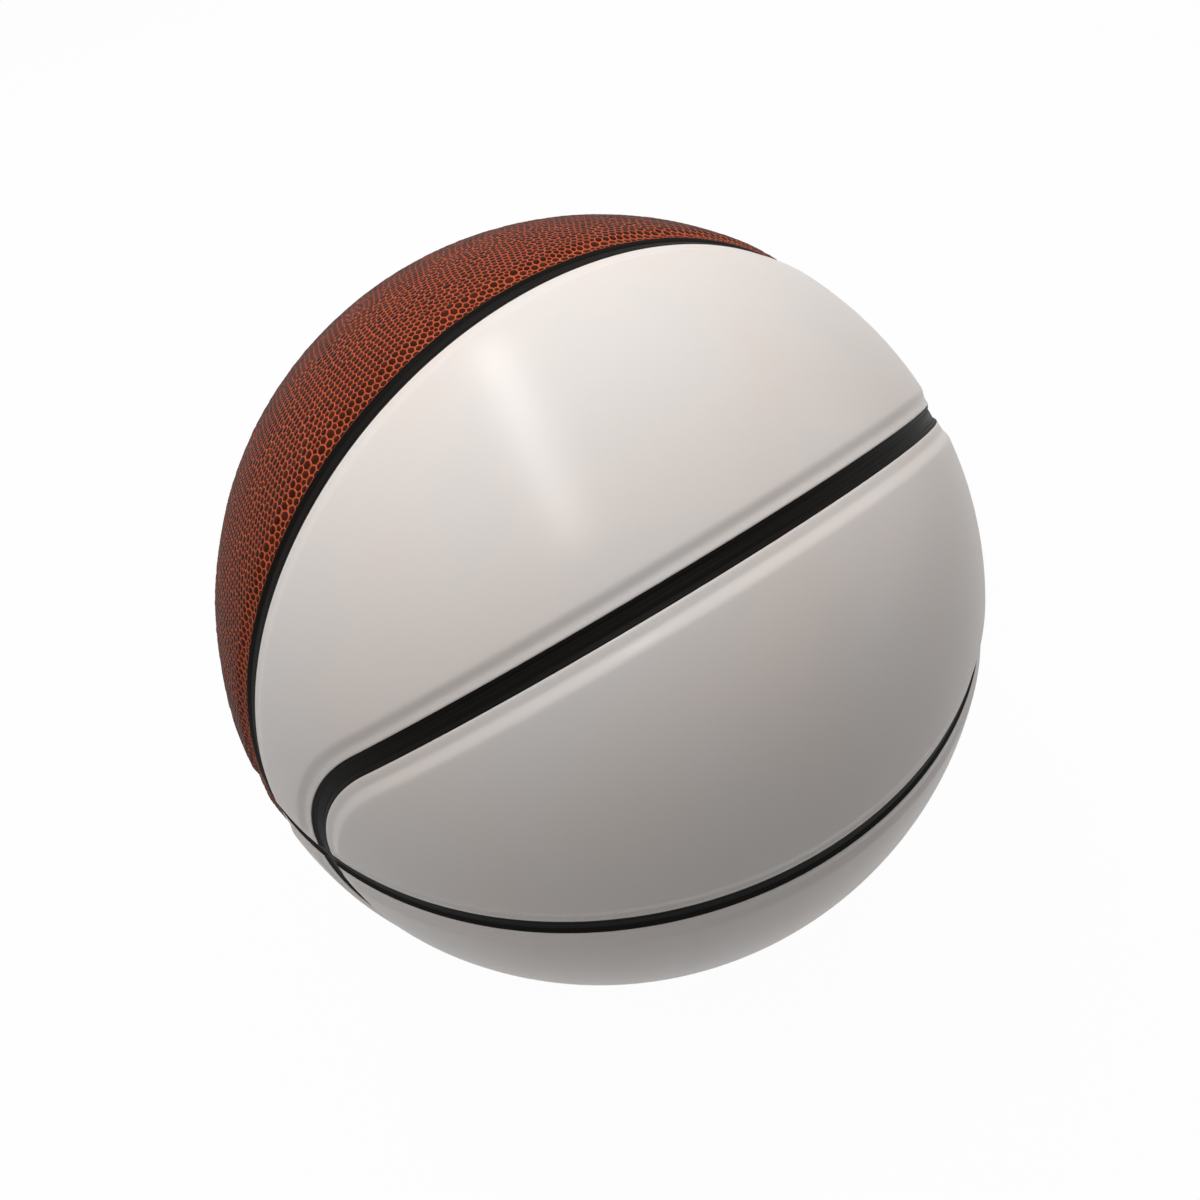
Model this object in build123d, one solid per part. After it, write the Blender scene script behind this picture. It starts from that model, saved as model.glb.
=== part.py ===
from build123d import *
from math import asin, atan2, cos, degrees, pi, radians, sin, sqrt
import os

# Driving dimensions of the ball, in millimetres and degrees

ball_girth = 749.26985        # round the crowns of the panels: the full adult size, 238.5 mm across
panel_thickness = 2.6         # cover sheet with its foam backing
carcass_thickness = 1.3       # moulded rubber under the panels
winding_thickness = 0.7       # wound nylon thread
bladder_thickness = 1.0       # butyl rubber
glue_line = 0.05              # room between bonded layers

channel_width = 5.8           # between the edges of two panels
flange_width = 1.5            # pressed lip of a panel beside the channel
shoulder_width = 3.0          # slope from the lip up to the crown
shoulder_drop = 1.0           # height of the crown over the lip
shoulder_step = 0.25          # square step at the foot of the slope
crown_round = 3.0             # radius where the slope meets the crown
pad_overlap = 0.4             # the raised middle of a panel reaches this far into its base

strip_set_down = 0.15         # edge of a seam strip below the lip of the panel
strip_flank_width = 1.4       # sloping side of the strip's groove
strip_flank_drop = 0.6        # height of that side
strip_clearance = 0.05        # room between a strip and what stands beside it

loop_crossing = 28.5          # along the equator, from its crossing with the meridian to the loop seam

valve_latitude = 22.5         # valve axis above the equator, in the middle of a brown side panel
valve_recess = 0.5            # end of the valve boot below the crown
boot_stem_radius = 4.6        # stem that passes through the wall of the ball
boot_flange_radius = 14.0     # flange bonded inside the bladder
boot_flange_thickness = 1.4
boot_flange_edge = 0.5        # thin rim of the flange
boot_nipple_length = 11.0     # blind end of the boot inside the bladder, below its flange
boot_nipple_radius = 4.2      # at its end
boot_end_wall = 1.2           # closed by this much rubber
boot_rim_round = 0.4
plug_radius = 2.6
plug_head_radius = 3.3
plug_head_thickness = 1.0
plug_tip_chamfer = 0.6
plug_set_down = 0.1           # top of the plug below the end of the boot
plug_clearance = 0.05         # push fit of the plug in the boot, all round
needle_bore_radius = 1.0
needle_bore_length = 7.0
needle_lead_in = 0.5          # countersink that guides the needle
wall_hole_clearance = 0.05    # room round the stem in every layer

cut_margin = 2.0              # how far a cutting tool stands past what it cuts

# Sizes that follow from the driving dimensions

crown = ball_girth / (2 * pi)
lip = crown - shoulder_drop
panel_seat = crown - panel_thickness
carcass_outer = panel_seat - glue_line
carcass_inner = carcass_outer - carcass_thickness
winding_outer = carcass_inner - glue_line
winding_inner = winding_outer - winding_thickness
bladder_outer = winding_inner - glue_line
bladder_inner = bladder_outer - bladder_thickness
channel_half = channel_width / 2
strip_half = channel_half - strip_clearance
strip_edge = lip - strip_set_down
strip_floor = strip_edge - strip_flank_drop
strip_stop = strip_half + strip_clearance

centre = Vector(0, 0, 0)

# Seam lines. The meridian seam lies in the plane x = 0 and the equator seam in z = 0. A loop seam runs
# half way between the two, in the planes x = z and x = -z, and turns through an arc at each end to cross
# the equator.

crossing_angle = loop_crossing / crown
bend_centre_angle = atan2(sin(crossing_angle), cos(crossing_angle) - sqrt(0.5))
bend_radius = bend_centre_angle - crossing_angle
run_axis = Vector(1, 0, -1).normalized()


def bend_axis(end):
    """Axis of the bend at the end of the loop towards -Y (end = -1) or +Y (end = 1)."""
    return Vector(sin(bend_centre_angle), end * cos(bend_centre_angle), 0)


def bend_start(end):
    """Direction of the point where the straight run turns into the bend."""
    half = sin(bend_centre_angle) / 2
    return Vector(half, end * cos(bend_centre_angle), half).normalized()


run_turn = 2 * bend_start(1).get_angle(Vector(1, 0, 1))
bend_turn = degrees(asin(bend_start(1).Z / sin(bend_radius)))


def slot_section(half_width):
    """A straight-sided slot through the whole cover, square to the ball."""
    depth = panel_thickness + 2 * cut_margin
    return Pos(0, crown + cut_margin) * Rectangle(2 * half_width, depth, align=(Align.CENTER, Align.MAX))


def strip_section():
    """A seam strip: seated on the carcass, with a groove along its top."""
    seat = panel_seat
    floor_half = strip_half - strip_flank_width
    half = Polyline(
        (0, seat),
        (strip_half, seat),
        (strip_half, strip_edge),
        (floor_half, strip_floor),
        (0, strip_floor),
    )
    return make_face(half.edges() + mirror(half, about=Plane.YZ).edges())


def seam_solid(section, start, axis, turn):
    """A section set square to a seam at its start and turned about the seam's axis."""
    sideways = (axis - start * start.dot(axis)).normalized()
    plane = Plane(origin=centre, x_dir=sideways, z_dir=sideways.cross(start))
    return revolve(plane * section, axis=Axis(centre, axis), revolution_arc=turn)


def meridian(section):
    """A section carried all the way round the meridian seam."""
    return seam_solid(section, Vector(0, 0, 1), Vector(1, 0, 0), 360)


def equator(section):
    """A section carried all the way round the equator seam."""
    return seam_solid(section, Vector(1, 0, 0), Vector(0, 0, 1), 360)


def joined(pieces, planes):
    """Solids that meet end to end in these planes made one, by leaving out the faces where they meet."""
    skin = []
    for face in (face for piece in pieces for face in piece.faces()):
        if not any(all(plane.contains(vertex) for vertex in face.vertices()) for plane in planes):
            skin.append(face)
    return Solid(Shell(skin))


def upper_loop(section, end_turn):
    """A section carried along the upper run of the +X loop seam and some way into both its bends."""
    run = seam_solid(section, bend_start(1), run_axis, run_turn)
    front = seam_solid(section, bend_start(-1), bend_axis(-1), end_turn)
    back = seam_solid(section, bend_start(1), bend_axis(1), -end_turn)
    meetings = [Plane(origin=centre, z_dir=run_axis.cross(bend_start(end))) for end in (-1, 1)]
    return joined([run, front, back], meetings)


def shell(outer, inner):
    """A round layer of the ball, without the hole for the valve."""
    return Sphere(outer) - Sphere(inner)


# The cover. One quarter of it, above the equator on the +X side, holds a band panel and a side panel.


def quarter_layer(outer, inner, half_width):
    """The side and the band of one quarter of a round layer, parted by slots along the seams."""
    profile = Circle(outer) - Circle(inner)
    corner = Rectangle(outer, outer, align=(Align.MIN, Align.MIN))
    quarter = revolve(profile & corner, axis=Axis.X, revolution_arc=180)
    slot = slot_section(half_width)
    past_equator = degrees(2 * half_width / (crown * sin(bend_radius)))
    parted = quarter - meridian(slot) - equator(slot) - upper_loop(slot, bend_turn + past_equator)
    return sorted(parted.solids(), key=lambda piece: piece.center().Z)


def outer_face(piece):
    """The face of a piece that lies on the crown of the ball."""
    round_faces = piece.faces().filter_by(GeomType.SPHERE)
    return max(round_faces, key=lambda face: Vector(*face.vertices()[0]).length)


def quarter_panels():
    """The side panel and the band panel of one quarter, each with a pressed lip round a raised middle."""
    bases = quarter_layer(lip, panel_seat, channel_half)
    pads = quarter_layer(crown, lip - pad_overlap, channel_half + flange_width)
    panels = []
    for base, pad in zip(bases, pads):
        top = outer_face(pad)
        pad = pad.chamfer(shoulder_width, shoulder_drop - shoulder_step, top.edges(), top)
        pad = pad.fillet(crown_round, outer_face(pad).edges())
        panels.append(base.fuse(pad))
    return panels


def valve_frame():
    """Frame at the ball's centre with its Z axis out through the valve."""
    lean = radians(valve_latitude)
    return Plane(origin=centre, x_dir=(0, 1, 0), z_dir=(-cos(lean), 0, sin(lean)))


def wall_hole():
    """The round hole that every layer has for the stem of the valve."""
    radius = boot_stem_radius + wall_hole_clearance
    height = 2 * crown
    return valve_frame() * Cylinder(radius, height, align=(Align.CENTER, Align.CENTER, Align.MIN))


# The valve, as sections turned about its axis: distance from the axis, height from the ball's centre

boot_end = crown - valve_recess
flange_seat = bladder_inner - glue_line
nipple_end = flange_seat - boot_flange_thickness - boot_nipple_length
boot_floor = nipple_end + boot_end_wall
plug_end = boot_end - plug_set_down
head_seat = plug_end - plug_head_thickness


def round_point(distance, radius):
    """Point at a distance from the valve's axis, on a sphere about the ball's centre."""
    return (distance, sqrt(radius**2 - distance**2))


def turned(outline):
    """A closed outline turned about the valve's axis."""
    frame = valve_frame()
    section = Plane(origin=frame.origin, x_dir=frame.x_dir, z_dir=-frame.y_dir)
    return revolve(section * make_face(outline), axis=Axis(frame.origin, frame.z_dir))


def valve_boot():
    """Stem, flange bonded inside the bladder and blind nipple, with the bore that takes the plug."""
    bore = plug_radius + plug_clearance
    counterbore = plug_head_radius + plug_clearance
    counterbore_floor = head_seat - plug_clearance
    seat_root = round_point(boot_stem_radius, flange_seat)
    seat_rim = round_point(boot_flange_radius, flange_seat)
    thin_rim = round_point(boot_flange_radius, flange_seat - boot_flange_edge)
    half_way = round_point((boot_stem_radius + boot_flange_radius) / 2, flange_seat)
    stem = Polyline(
        (bore, boot_floor),
        (bore, counterbore_floor),
        (counterbore, counterbore_floor),
        (counterbore, boot_end),
        (boot_stem_radius - boot_rim_round, boot_end),
        (boot_stem_radius, boot_end - boot_rim_round),
        seat_root,
    )
    seat = ThreePointArc(seat_root, half_way, seat_rim)
    nipple = Polyline(
        seat_rim,
        thin_rim,
        (boot_stem_radius, flange_seat - boot_flange_thickness),
        (boot_nipple_radius, nipple_end),
        (0, nipple_end),
        (0, boot_floor),
        (bore, boot_floor),
    )
    return turned([stem, seat, nipple])


def valve_plug():
    """Soft plug with a head that seats in the boot and a bore for the inflation needle."""
    tip = boot_floor + plug_clearance
    bore_floor = plug_end - needle_bore_length
    outline = Polyline(
        (0, tip),
        (plug_radius - plug_tip_chamfer, tip),
        (plug_radius, tip + plug_tip_chamfer),
        (plug_radius, head_seat),
        (plug_head_radius, head_seat),
        (plug_head_radius, plug_end),
        (needle_bore_radius + needle_lead_in, plug_end),
        (needle_bore_radius, plug_end - needle_lead_in),
        (needle_bore_radius, bore_floor),
        (0, bore_floor),
        (0, tip),
    )
    return turned([outline])


# The seam strips


def equator_strip():
    """Half a ring on the +X side, which ends square to its own line at the meridian strip."""
    short = asin(strip_stop / panel_seat)
    start = Vector(sin(short), -cos(short), 0)
    return seam_solid(strip_section(), start, Vector(0, 0, 1), 180 - 2 * degrees(short))


def upper_loop_strip():
    """Half a loop, from the equator strip in front round to the equator strip behind."""
    inner_corner = panel_seat * sin(bend_radius) - strip_half * cos(bend_radius)
    short = asin(strip_stop / inner_corner)
    return upper_loop(strip_section(), bend_turn - degrees(short))


def write(name, shape):
    """Save one piece of the ball under its name."""
    export_step(shape, f"parts/{name}.step")


os.makedirs("parts", exist_ok=True)

hole = wall_hole()
side, band = quarter_panels()
quarter_pieces = {"side_panel": side, "band_panel": band, "loop_strip": upper_loop_strip()}

for colour in ("white", "brown"):
    for level in ("top", "bottom"):
        for kind, shape in quarter_pieces.items():
            if level == "bottom":
                shape = mirror(shape, about=Plane.XY)
            if colour == "brown":
                shape = mirror(shape, about=Plane.YZ)
            name = f"{colour}_{kind}_{level}"
            if name == "brown_side_panel_top":
                shape = shape - hole
            write(name, shape)

write("meridian_strip", meridian(strip_section()))
write("white_equator_strip", equator_strip())
write("brown_equator_strip", mirror(equator_strip(), about=Plane.YZ))
write("carcass", shell(carcass_outer, carcass_inner) - hole)
write("thread_winding", shell(winding_outer, winding_inner) - hole)
write("bladder", shell(bladder_outer, bladder_inner) - hole)
write("valve_boot", valve_boot())
write("valve_plug", valve_plug())
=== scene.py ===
import math

import bmesh
import bpy
import numpy as np
from bpy.props import FloatProperty, FloatVectorProperty, IntProperty, PointerProperty
from mathutils import Matrix, Vector


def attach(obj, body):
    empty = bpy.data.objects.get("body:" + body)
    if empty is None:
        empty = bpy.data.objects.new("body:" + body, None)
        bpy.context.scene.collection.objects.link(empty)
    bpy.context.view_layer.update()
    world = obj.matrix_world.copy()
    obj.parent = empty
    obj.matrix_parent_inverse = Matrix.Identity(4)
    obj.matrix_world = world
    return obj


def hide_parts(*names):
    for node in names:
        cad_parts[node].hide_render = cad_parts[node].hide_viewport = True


bl_info = {
    "name": "Two-tone basketball",
    "version": (1, 0, 0),
    "blender": (4, 5, 0),
    "location": "View3D > Sidebar > Ball",
    "description": "Smooth and pebbled covers, seam rubber and a stage for the solids of an inflatable ball",
    "category": "Object",
}

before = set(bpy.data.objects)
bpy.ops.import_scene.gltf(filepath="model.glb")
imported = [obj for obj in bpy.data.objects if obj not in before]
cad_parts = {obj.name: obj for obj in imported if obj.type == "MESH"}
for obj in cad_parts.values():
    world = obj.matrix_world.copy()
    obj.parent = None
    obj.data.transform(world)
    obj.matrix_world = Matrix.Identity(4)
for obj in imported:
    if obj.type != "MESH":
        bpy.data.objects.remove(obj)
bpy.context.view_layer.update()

BODY = "ball"
LEVELS = {"top": 1, "bottom": -1}
ENDS = (-1, 1)

# Fine form of the panels' edges and of the seam strips, in metres where it isn't a share
EDGE_ROLL = 0.00016
EDGE_ROLL_WIDTH = 0.0004
LIP_TURN = 0.00016
LIP_TURN_WIDTH = 0.0022
LIP_TURN_SHARE = {"band": 0.6, "side": -0.5}
GROOVE_RIM = 0.0001
GROOVE_LINE_DEPTH = 0.0001
GROOVE_LINE_WIDTH = 0.00014
RIDGE_HEIGHT = 0.00004
RIDGE_PITCH = 0.00042
RIDGE_START = 0.0004
RIDGE_STOP = 0.0003
STRIP_END_GAP = 0.00002
STRIP_FOOT_HEIGHT = 0.0003
STRIP_FOOT_SHARE = 0.985

# Lines cut along the edges of the white panels, at these distances, and where the creases begin to fade
WHITE_EDGE_LINES = (0.00015, 0.0004, *np.arange(0.0010, 0.0075, 0.0006))
CREASE_START = 0.0010

# Fineness of the white sheets, and of a strip's half ring, straight run and bend
WHITE_CUTS = 15
HALF_RING_STEPS = 300
RUN_STEPS = 180
BEND_STEPS = 60

# Finest distances that count as none, in metres
SAME_POINT = 1e-6
SAME_CORNER = 0.00003
ON_LINE = 0.00001
SHORTEST_SIDE = 1e-9

# Rings of a pebble from its foot to its top: share of the cell's width, how round, share of the height
PEBBLE_FOOT = (0.94, 0.22, 0.2)
PEBBLE_SHOULDER = (0.76, 0.35, 0.9)

# Pebbles: share below the panel's face, ranges of size and height, and how they flatten to a panel's edge
PEBBLE_SINK = 0.6
PEBBLE_SIZES = (0.25, 1.15)
PEBBLE_HEIGHTS = (0.85, 1.15)
EDGE_HEIGHT = 0.55
EDGE_GAIN = 0.45
EDGE_GAIN_WIDTH = 0.004

# What the brown finish reads: how far up a pebble a point is, also at a panel's rim, and how rubbed it is.
# The higher values at the rim darken the panel's edge beside the channel as painted shade
# Chance rubs the pebbles, in a beta spread that PEBBLE_TONES gives
SLOPE, SHADED_RIM_SLOPE = 0.12, 0.4
VALLEY, SHADED_RIM_VALLEY = 0, 0.5
VALLEY_TONE = 0.4
PEBBLE_TONES = (1.3, 3.2)
VALVE_HEIGHT, VALVE_TONE = 0.9, 0.15

# A rim past this share of the crown's radius along the valve's axis is that of the valve's hole
VALVE_RIM_SHARE = 0.98

# Smooth ring at the valve, from outside in: distance from the hole's edge, depth below the crown
VALVE_STEPS = ((0.0013, 0.0001), (0.0009, 0.0), (0.0003, 0.00002), (0.0, 0.0003))

# Lamps: place, direction of the long side, long side, short side, power, whether glossy surfaces show it
LAMPS = {
    "overhead_softbox": ((-0.2, 0, 1.2), (0, 1, 0), 2.6, 0.9, 14.9, False),
    "overhead_strip": ((-0.12, -0.143, 1.15), (1, -0.338, 0), 1.43, 0.16, 6.6, True),
    "right_softbox": ((0.55, 1.0, 0.2), (0, 0, 1), 0.9, 0.9, 1.6, True),
    "back_softbox": ((-1.0, 0.3, 0.3), (0, 1, 0), 0.7, 0.5, 1.5, False),
}

# Floor and surroundings: floor's grey, how much of it looks plain white, and light from all round
FLOOR_GREY = 0.6
FLOOR_WHITE_SHARE = 0.975
WORLD_LIGHT = 0.015

# Camera: directions to its right and behind it, distance in radii of the ball, lens in millimetres
CAMERA_RIGHT = (0.5805, 0.8029, -0.1356)
CAMERA_BACK = (0.6268, -0.3343, 0.7039)
CAMERA_DISTANCE = 3.373
CAMERA_LENS = 37.245


def length(name, description, default):
    """A size of the ball, in metres."""
    return FloatProperty(
        name=name, description=description, default=default, min=0.0, precision=5, unit="LENGTH"
    )


def colour(name, description, default):
    """A colour of one of the ball's finishes."""
    return FloatVectorProperty(
        name=name, description=description, default=default, min=0.0, max=1.0, size=3, subtype="COLOR"
    )


class BallSizes(bpy.types.PropertyGroup):
    """Sizes of the ball. The panels' edges and the strips' grooves are a little finer than in its solids."""

    crown_radius: length("Crown radius", "From the centre to the raised middle of a panel", 0.11925)
    panel_thickness: length("Panel thickness", "Cover sheet with its foam backing", 0.0026)
    channel_width: length("Channel width", "Between the edges of two panels", 0.0058)
    flange_width: length("Lip width", "Pressed lip of a side panel beside the channel", 0.0021)
    band_flange_width: length("Band lip width", "Pressed lip of a band panel beside the channel", 0.0013)
    shoulder_width: length("Shoulder width", "Slope from the lip up to the crown", 0.0041)
    shoulder_drop: length("Shoulder drop", "Height of the crown over the lip", 0.00092)
    corner_round: length("Corner round", "Radius of the raised middle at a panel's corners", 0.005)
    strip_clearance: length("Strip clearance", "Room between a seam strip and the panels beside it", 0.00008)
    strip_set_down: length("Strip set-down", "Edge of a seam strip below the lip", 0.00015)
    strip_flank_width: length("Strip flank width", "Sloping side of the strip's groove", 0.00145)
    strip_flank_drop: length("Strip flank drop", "Height of that side", 0.0006)
    loop_crossing: length("Loop crossing", "Along the equator from meridian seam to loop seam", 0.0285)
    valve_hole: length("Valve hole", "Radius of the hole in the cover", 0.00465)
    valve_ring: length("Valve ring", "Radius of the smooth ring round that hole", 0.0066)
    valve_angle: FloatProperty(
        name="Valve angle",
        description="Valve axis above the equator",
        default=math.radians(22.5),
        unit="ROTATION",
    )


class BallGrain(bpy.types.PropertyGroup):
    """The pebbles of the brown cover."""

    pebble_height: length("Pebble height", "From the valley to the top of a pebble", 0.00030)
    rows: IntProperty(name="Rows", description="More rows make smaller pebbles", default=16, min=4)
    jitter: length("Jitter", "How far a pebble strays before it settles among the others", 0.0004)
    settling: IntProperty(
        name="Settling", description="Rounds in which the pebbles settle evenly", default=4, min=0
    )
    swirl: length("Swirl", "How far the rows of pebbles wander", 0.0012)
    seed: IntProperty(name="Seed", description="Start of the random layout of the pebbles", default=7, min=0)


class BallColours(bpy.types.PropertyGroup):
    """Colours of the ball's finishes."""

    white: colour("White", "Smooth cover", (0.785, 0.712, 0.668))
    white_cool: colour("Cool white", "Cooler patches of the smooth cover", (0.765, 0.722, 0.692))
    pebble_top: colour("Pebble", "Tops of the pebbles", (0.034, 0.0070, 0.0033))
    pebble_worn: colour("Rubbed pebble", "Pebbles with more of the valley colour", (0.085, 0.0170, 0.0072))
    valley: colour("Valley", "Lines between the pebbles", (0.56, 0.113, 0.046))
    rubber: colour("Seam rubber", "Channels between the panels", (0.0046, 0.0040, 0.0036))
    carcass: colour("Carcass", "Moulded rubber under the panels", (0.03, 0.03, 0.03))
    thread: colour("Thread", "Wound nylon thread", (0.72, 0.70, 0.64))
    bladder: colour("Bladder", "Butyl rubber", (0.02, 0.02, 0.022))
    valve: colour("Valve", "Valve boot", (0.016, 0.016, 0.016))
    plug: colour("Plug", "Valve plug", (0.026, 0.026, 0.026))


class Seams:
    """Lines of the seams on the ball, worked out from its sizes.

    The meridian seam lies in the plane x = 0 and the equator seam in z = 0. A loop seam runs half way
    between them and turns through an arc at each end to cross the equator. sx and sz say which quarter
    of the ball is meant, and end which end of it.
    """

    def __init__(self, sizes):
        self.radius = sizes.crown_radius
        self.half = sizes.channel_width / 2
        self.crossing = sizes.loop_crossing / self.radius
        self.centre_angle = math.atan2(math.sin(self.crossing), math.cos(self.crossing) - math.sqrt(0.5))
        self.bend_angle = self.centre_angle - self.crossing

    def run_normal(self, sx, sz):
        """Normal of the plane of a loop's straight run, towards the side panel."""
        return Vector((sx, 0, -sz)).normalized()

    def bend_axis(self, sx, end):
        """Axis of the arc at one end of a loop."""
        return Vector((sx * math.sin(self.centre_angle), end * math.cos(self.centre_angle), 0))

    def bend_start(self, sx, sz, end):
        """Direction of the point where the straight run turns into the arc."""
        half = math.sin(self.centre_angle) / 2
        return Vector((sx * half, end * math.cos(self.centre_angle), sz * half)).normalized()

    def zone_normal(self, sx, sz, end):
        """Normal of the plane across the seam at that point, towards the arc."""
        normal = self.run_normal(sx, sz).cross(self.bend_start(sx, sz, end)).normalized()
        return normal if normal.y * end > 0 else -normal

    def distances(self, points):
        """Distance of each point from meridian, equator and loop, the last positive on the side panel."""
        unit = np.abs(points) / np.linalg.norm(points, axis=1, keepdims=True)
        run = unit @ np.array(self.run_normal(1, 1))
        angle = np.arccos(np.clip(unit @ np.array(self.bend_axis(1, 1)), -1, 1))
        bend = np.sin(self.bend_angle - angle)
        in_bend = unit @ np.array(self.zone_normal(1, 1, 1)) > 0
        loop = np.where(in_bend, bend, run)
        return self.radius * unit[:, 0], self.radius * unit[:, 2], self.radius * loop


def smooth_step(share):
    """Eases from 0 to 1."""
    share = np.clip(share, 0, 1)
    return share * share * (3 - 2 * share)


def edge_distances(points, kind, seams):
    """Distances of each point of a panel from the panel's edges, the nearest first."""
    meridian, equator, loop = seams.distances(points)
    edges = [equator, loop] if kind == "side" else [meridian, equator, -loop]
    return np.sort(np.array(edges) - seams.half, axis=0)


def edge_distance(points, kind, sizes, seams):
    """Distance of each point of a panel from its edge, rounded off at the panel's corners."""
    near, next_near = edge_distances(points, kind, seams)[:2]
    size = sizes.corner_round
    rounded = size - np.hypot(size - near, size - next_near)
    return np.where(next_near < size, rounded, near)


def panel_radius(edge, kind, sizes):
    """Radius of a panel's outside at a distance from its edge: rolled edge, lip, shoulder and crown.

    The lip of a band panel turns up a little towards the channel, and that of a side panel down.
    """
    lip = sizes.crown_radius - sizes.shoulder_drop
    roll = EDGE_ROLL * (1 - np.clip(edge / EDGE_ROLL_WIDTH, 0, 1)) ** 2
    turned = LIP_TURN * (1 - np.clip(edge / LIP_TURN_WIDTH, 0, 1))
    lean = LIP_TURN_SHARE[kind] * turned
    flange = sizes.band_flange_width if kind == "band" else sizes.flange_width
    shoulder = sizes.shoulder_drop * smooth_step((edge - flange) / sizes.shoulder_width)
    return lip - roll + lean + shoulder


def groove_radius(inside, sizes):
    """Radius of a seam strip's outside at a distance inside its channel's edge."""
    edge = sizes.crown_radius - sizes.shoulder_drop - sizes.strip_set_down
    flank = smooth_step((inside - GROOVE_RIM) / sizes.strip_flank_width)
    line = np.exp(-(((inside - sizes.strip_flank_width) / GROOVE_LINE_WIDTH) ** 2))
    fade = smooth_step(inside / RIDGE_START)
    fade *= smooth_step((sizes.strip_flank_width - inside) / RIDGE_STOP)
    ridges = RIDGE_HEIGHT * fade * np.cos(2 * math.pi * inside / RIDGE_PITCH)
    return edge - sizes.strip_flank_drop * flank - GROOVE_LINE_DEPTH * line + ridges


def read_points(mesh):
    """The points of a mesh as an array."""
    points = np.empty(len(mesh.vertices) * 3)
    mesh.vertices.foreach_get("co", points)
    return points.reshape(-1, 3)


def read_edges(mesh):
    """The two ends of each edge of a mesh as an array."""
    ends = np.empty(len(mesh.edges) * 2, int)
    mesh.edges.foreach_get("vertices", ends)
    return ends.reshape(-1, 2)


def write_points(mesh, points):
    """Moves the points of a mesh to those of an array."""
    mesh.vertices.foreach_set("co", points.ravel())
    mesh.update()


def store(mesh, name, values):
    """Keeps one number for each point of a mesh, for its finish to read."""
    attribute = mesh.attributes.new(name, "FLOAT", "POINT")
    attribute.data.foreach_set("value", values)


def at_radius(points, radius):
    """Points moved in or out to a radius."""
    return points / np.linalg.norm(points, axis=1, keepdims=True) * np.asarray(radius).reshape(-1, 1)


def cut(point, normal, clear=False, fill=False):
    """Cuts what is selected along a plane, and with clear removes what lies behind it."""
    bpy.ops.mesh.bisect(
        plane_co=point, plane_no=normal, clear_inner=clear, clear_outer=False, use_fill=fill, threshold=1e-7
    )


def select_faces(sheet, test):
    """Selects the faces whose middle passes a test."""
    mesh = bmesh.from_edit_mesh(sheet.data)
    for face in mesh.faces:
        face.select_set(test(face.calc_center_median()))
    bmesh.update_edit_mesh(sheet.data)


def cut_all(point, normal, clear=False):
    """Cuts the whole mesh in edit mode along a plane."""
    bpy.ops.mesh.select_all(action="SELECT")
    cut(point, normal, clear)


def cut_loop(sheet, kind, sx, sz, offset, seams):
    """Cuts a sheet along a line beside the loop seam, run and arcs each by a plane of its own."""
    facing = 1 if kind == "side" else -1
    run = seams.run_normal(sx, sz) * facing
    ends = {end: seams.zone_normal(sx, sz, end) for end in ENDS}
    select_faces(sheet, lambda middle: all(middle.dot(normal) < 0 for normal in ends.values()))
    cut(run * offset, run)
    angle = seams.bend_angle - facing * math.asin(offset / seams.radius)
    for end, normal in ends.items():
        axis = seams.bend_axis(sx, end)
        select_faces(sheet, lambda middle: middle.dot(normal) > 0)
        cut(axis * math.cos(angle) * seams.radius, axis * facing)


def trim_sheet(sheet, kind, sx, sz, offsets, seams):
    """Trims a round sheet to a panel, with more lines along its edge at some offsets from it."""
    bpy.ops.object.mode_set(mode="EDIT")
    bpy.ops.mesh.select_mode(type="FACE")
    meridian = Vector((sx, 0, 0))
    equator = Vector((0, 0, sz))
    cut_all(meridian * seams.half, meridian, clear=True)
    cut_all(equator * seams.half, equator, clear=True)
    for end in ENDS:
        cut_all((0, 0, 0), seams.zone_normal(sx, sz, end))
    cut_loop(sheet, kind, sx, sz, seams.half, seams)
    bpy.ops.object.mode_set(mode="OBJECT")
    middles = np.empty(len(sheet.data.polygons) * 3)
    sheet.data.polygons.foreach_get("center", middles)
    beyond = edge_distances(middles.reshape(-1, 3), kind, seams)[0] < 0
    sheet.data.polygons.foreach_set("select", beyond)
    bpy.ops.object.mode_set(mode="EDIT")
    bpy.ops.mesh.delete(type="FACE")
    for offset in offsets:
        cut_all(equator * (seams.half + offset), equator)
        if kind == "band":
            cut_all(meridian * (seams.half + offset), meridian)
        cut_loop(sheet, kind, sx, sz, seams.half + offset, seams)
    bpy.ops.mesh.select_all(action="SELECT")
    bpy.ops.mesh.remove_doubles(threshold=SAME_CORNER)
    bpy.ops.mesh.delete_loose()
    bpy.ops.object.mode_set(mode="OBJECT")


def rejoin_cells(sheet, sx, sz, seams):
    """Makes the cells whole again that trimming has split where the loop's run meets its bends."""
    normals = np.array([seams.zone_normal(sx, sz, end) for end in ENDS])
    on_line = np.abs(read_points(sheet.data) @ normals.T) < ON_LINE
    split = on_line[read_edges(sheet.data)].all(axis=1).any(axis=1)
    bpy.ops.object.mode_set(mode="EDIT")
    bpy.ops.mesh.select_mode(type="EDGE")
    bpy.ops.mesh.select_all(action="DESELECT")
    bpy.ops.object.mode_set(mode="OBJECT")
    sheet.data.edges.foreach_set("select", split)
    bpy.ops.object.mode_set(mode="EDIT")
    bpy.ops.mesh.dissolve_edges(use_verts=True)
    bpy.ops.mesh.select_mode(type="FACE")
    bpy.ops.object.mode_set(mode="OBJECT")


def round_sheet(name, radius, cuts):
    """A fine round sheet, a start for a panel. More cuts make it finer."""
    bpy.ops.object.select_all(action="DESELECT")
    bpy.ops.mesh.primitive_ico_sphere_add(subdivisions=3, radius=radius)
    sheet = bpy.context.object
    sheet.name = name
    bpy.ops.object.mode_set(mode="EDIT")
    bpy.ops.mesh.subdivide(number_cuts=cuts)
    bpy.ops.object.mode_set(mode="OBJECT")
    points = read_points(sheet.data)
    write_points(sheet.data, at_radius(points, np.full(len(points), radius)))
    return sheet


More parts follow.
